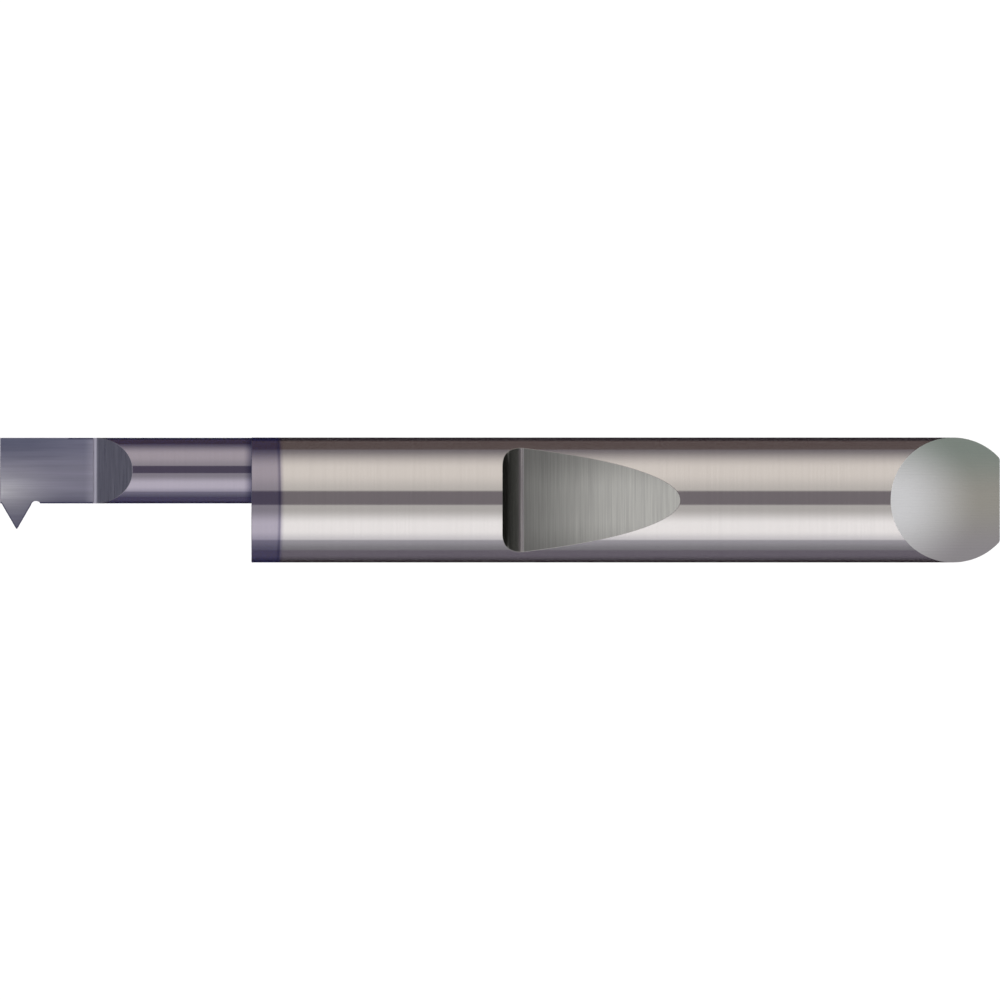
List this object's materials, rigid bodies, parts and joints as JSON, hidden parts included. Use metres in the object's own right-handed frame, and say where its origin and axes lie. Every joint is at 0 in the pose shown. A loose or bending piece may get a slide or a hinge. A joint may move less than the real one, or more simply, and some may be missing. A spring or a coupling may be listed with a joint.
{
  "type": "internal threading tool",
  "caption": "One-piece carbide bar with a pointed 60 degree tooth on a slim offset neck, and a round shank with a clamp notch and a bevelled rear end.",
  "frame": {"origin": "on the shank's axis, at the shoulder where the shank meets the neck", "axes": "+X along the shank to its rear end, +Z out of the rake face and the clamp notch, and the tooth points to -Y"},
  "size_m": [0.0635, 0.008, 0.008],
  "materials": {
    "ground_carbide": "ground bright, with a dark violet-grey coating over the head, the neck and the first 1.8 mm of the shank"
  },
  "bodies": {
    "root": {"threading_bar": "ground_carbide"}
  },
  "joints": []
}
